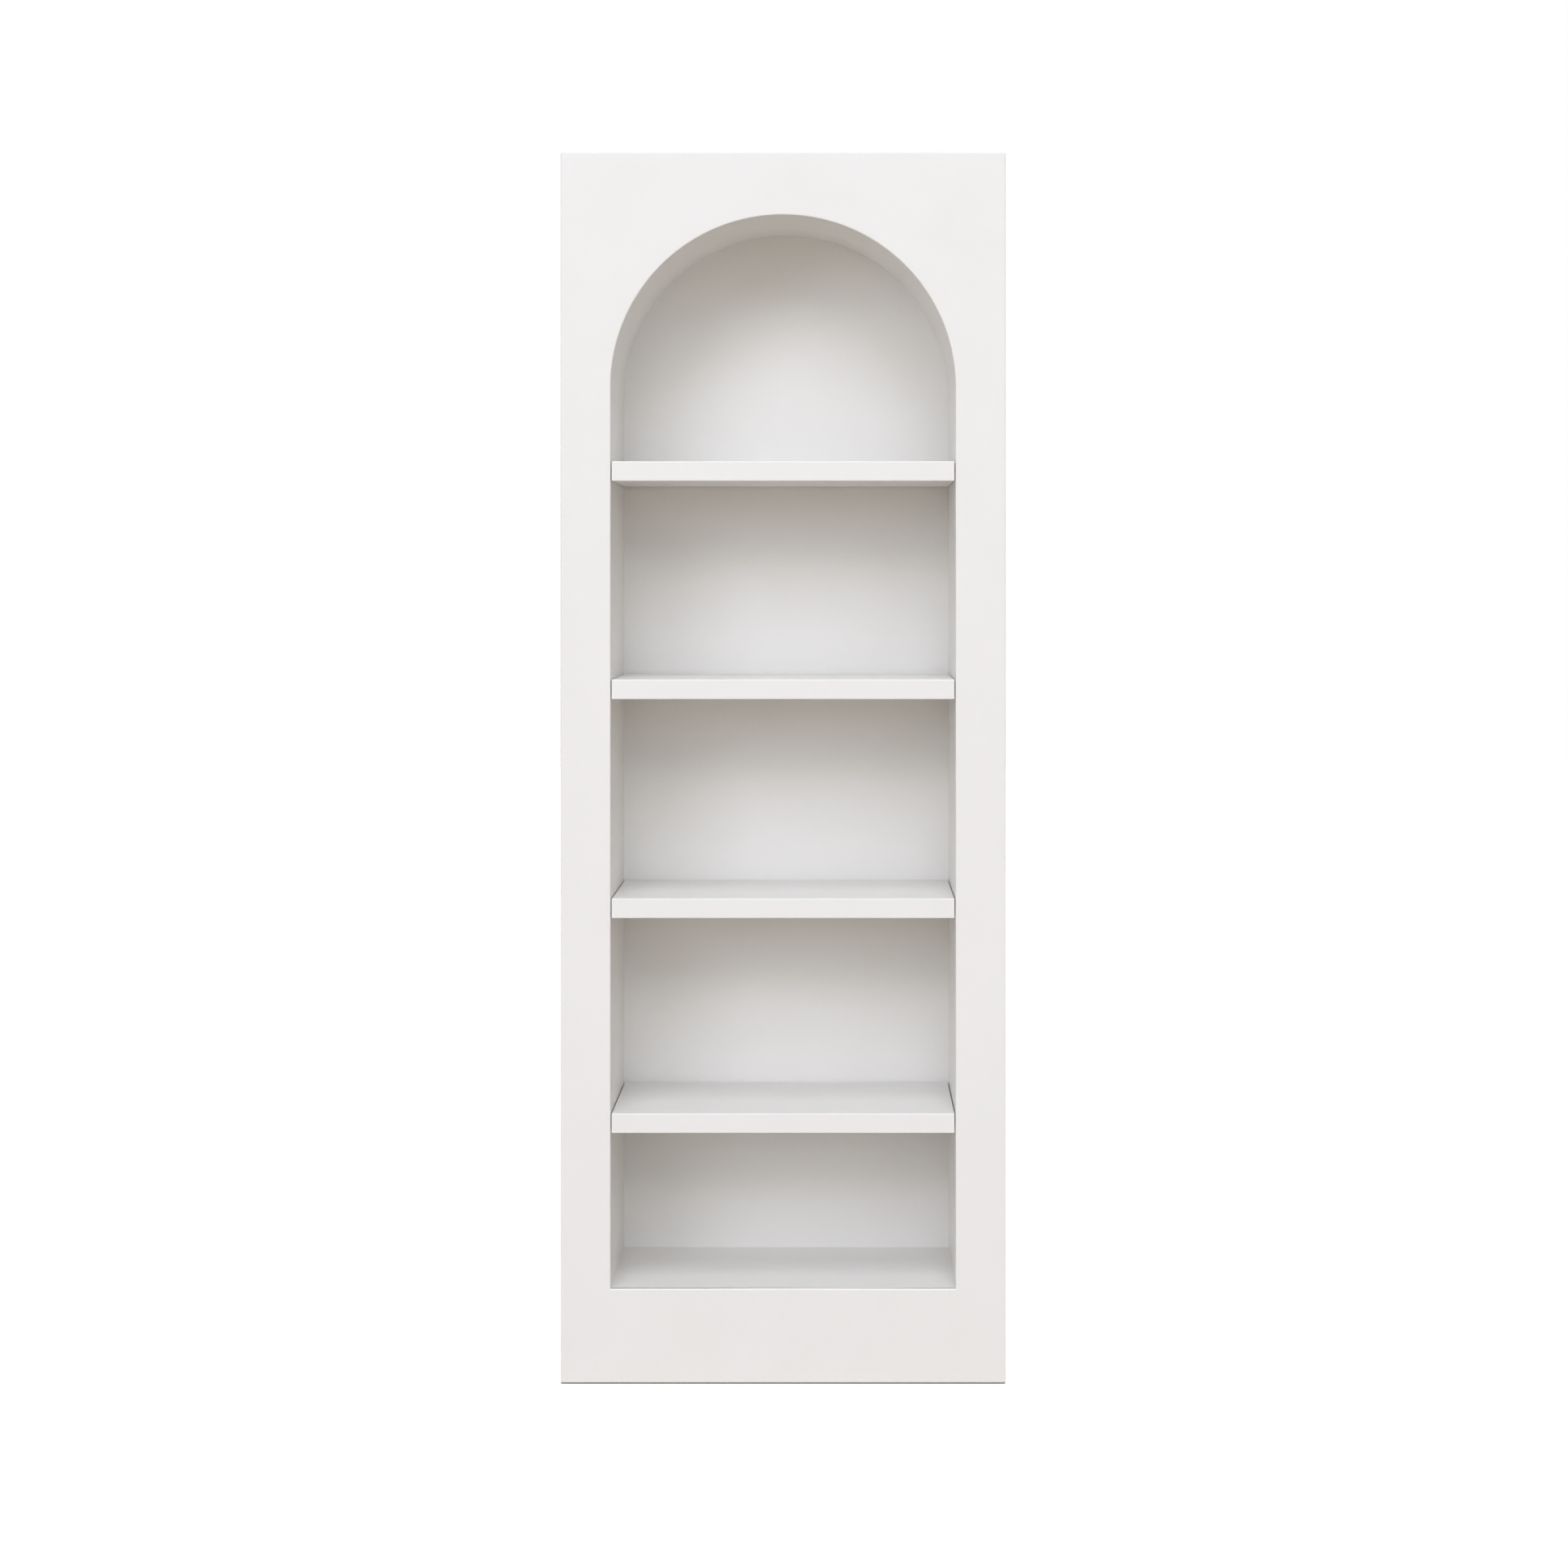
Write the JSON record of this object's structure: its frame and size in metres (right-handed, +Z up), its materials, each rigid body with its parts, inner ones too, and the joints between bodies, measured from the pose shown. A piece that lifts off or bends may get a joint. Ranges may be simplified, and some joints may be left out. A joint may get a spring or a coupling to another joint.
{
  "type": "arched bookcase",
  "caption": "Tall open bookcase with a round-arched front frame, loose shelves on hidden wires and levelling feet, tied to a wall at its top.",
  "frame": {"origin": "on the floor under the middle of the case, half way between front face and wall", "axes": "+X to the right seen from the front, +Y back to the wall, +Z up"},
  "size_m": [0.65, 0.3, 1.823],
  "materials": {
    "white_lacquer": "satin white polyurethane lacquer on medium-density fibreboard",
    "raw_mdf": "bare medium-density fibreboard",
    "beech": "bare turned beech",
    "zinc_steel": "bright zinc-plated steel",
    "black_plastic": "moulded black nylon"
  },
  "bodies": {
    "case": {"front_panel": "white_lacquer", "outer_side_left": "white_lacquer", "outer_side_right": "white_lacquer", "inner_side_left": "white_lacquer", "inner_side_right": "white_lacquer", "top_panel": "white_lacquer", "deck_panel": "white_lacquer", "base_panel": "white_lacquer", "plinth_riser_left": "raw_mdf", "plinth_riser_middle": "raw_mdf", "plinth_riser_right": "raw_mdf", "spacers_left": "raw_mdf", "spacers_right": "raw_mdf", "arch_soffit": "white_lacquer", "arch_rib_middle": "raw_mdf", "arch_rib_rear": "raw_mdf", "back_panel": "white_lacquer", "shelf_wires_left": "zinc_steel", "shelf_wires_right": "zinc_steel", "front_dowels": "beech", "inner_side_dowels": "beech", "cam_locks": "zinc_steel", "cam_bolts": "zinc_steel", "base_screws": "zinc_steel", "back_screws": "zinc_steel", "wall_bracket_left": "zinc_steel", "wall_bracket_right": "zinc_steel", "bracket_screws": "zinc_steel", "foot_inserts": "zinc_steel"},
    "shelf_1": {"shelf_1": "white_lacquer"},
    "shelf_2": {"shelf_2": "white_lacquer"},
    "shelf_3": {"shelf_3": "white_lacquer"},
    "shelf_4": {"shelf_4": "white_lacquer"},
    "foot_pad_front_left": {"foot_pad_front_left": "black_plastic"},
    "foot_pad_front_right": {"foot_pad_front_right": "black_plastic"},
    "foot_pad_rear_left": {"foot_pad_rear_left": "black_plastic"},
    "foot_pad_rear_right": {"foot_pad_rear_right": "black_plastic"},
    "foot_stud_front_left": {"foot_stud_front_left": "zinc_steel"},
    "foot_stud_front_right": {"foot_stud_front_right": "zinc_steel"},
    "foot_stud_rear_left": {"foot_stud_rear_left": "zinc_steel"},
    "foot_stud_rear_right": {"foot_stud_rear_right": "zinc_steel"}
  },
  "joints": [
    {"name": "shelf_1_slide", "type": "slide", "parent": "case", "child": "shelf_1", "axis": [0, -1, 0], "range_m": [0, 0.3]},
    {"name": "shelf_2_slide", "type": "slide", "parent": "case", "child": "shelf_2", "axis": [0, -1, 0], "range_m": [0, 0.3]},
    {"name": "shelf_3_slide", "type": "slide", "parent": "case", "child": "shelf_3", "axis": [0, -1, 0], "range_m": [0, 0.3]},
    {"name": "shelf_4_slide", "type": "slide", "parent": "case", "child": "shelf_4", "axis": [0, -1, 0], "range_m": [0, 0.3]},
    {"name": "foot_front_left_travel", "type": "slide", "parent": "case", "child": "foot_pad_front_left", "axis": [0, 0, -1], "range_m": [0, 0.01]},
    {"name": "foot_front_left_screw", "type": "hinge", "parent": "foot_pad_front_left", "child": "foot_stud_front_left", "pos_m": [-0.255, -0.1, 0.007], "axis": [0, 0, -1], "range_deg": [0, 2880]},
    {"name": "foot_front_right_travel", "type": "slide", "parent": "case", "child": "foot_pad_front_right", "axis": [0, 0, -1], "range_m": [0, 0.01]},
    {"name": "foot_front_right_screw", "type": "hinge", "parent": "foot_pad_front_right", "child": "foot_stud_front_right", "pos_m": [0.255, -0.1, 0.007], "axis": [0, 0, -1], "range_deg": [0, 2880]},
    {"name": "foot_rear_left_travel", "type": "slide", "parent": "case", "child": "foot_pad_rear_left", "axis": [0, 0, -1], "range_m": [0, 0.01]},
    {"name": "foot_rear_left_screw", "type": "hinge", "parent": "foot_pad_rear_left", "child": "foot_stud_rear_left", "pos_m": [-0.255, 0.1, 0.007], "axis": [0, 0, -1], "range_deg": [0, 2880]},
    {"name": "foot_rear_right_travel", "type": "slide", "parent": "case", "child": "foot_pad_rear_right", "axis": [0, 0, -1], "range_m": [0, 0.01]},
    {"name": "foot_rear_right_screw", "type": "hinge", "parent": "foot_pad_rear_right", "child": "foot_stud_rear_right", "pos_m": [0.255, 0.1, 0.007], "axis": [0, 0, -1], "range_deg": [0, 2880]}
  ],
  "couplings": [
    {"joint": "foot_front_left_travel", "follows": "foot_front_left_screw", "m_per_rad": 0.00019894},
    {"joint": "foot_front_right_travel", "follows": "foot_front_right_screw", "m_per_rad": 0.00019894},
    {"joint": "foot_rear_left_travel", "follows": "foot_rear_left_screw", "m_per_rad": 0.00019894},
    {"joint": "foot_rear_right_travel", "follows": "foot_rear_right_screw", "m_per_rad": 0.00019894}
  ]
}
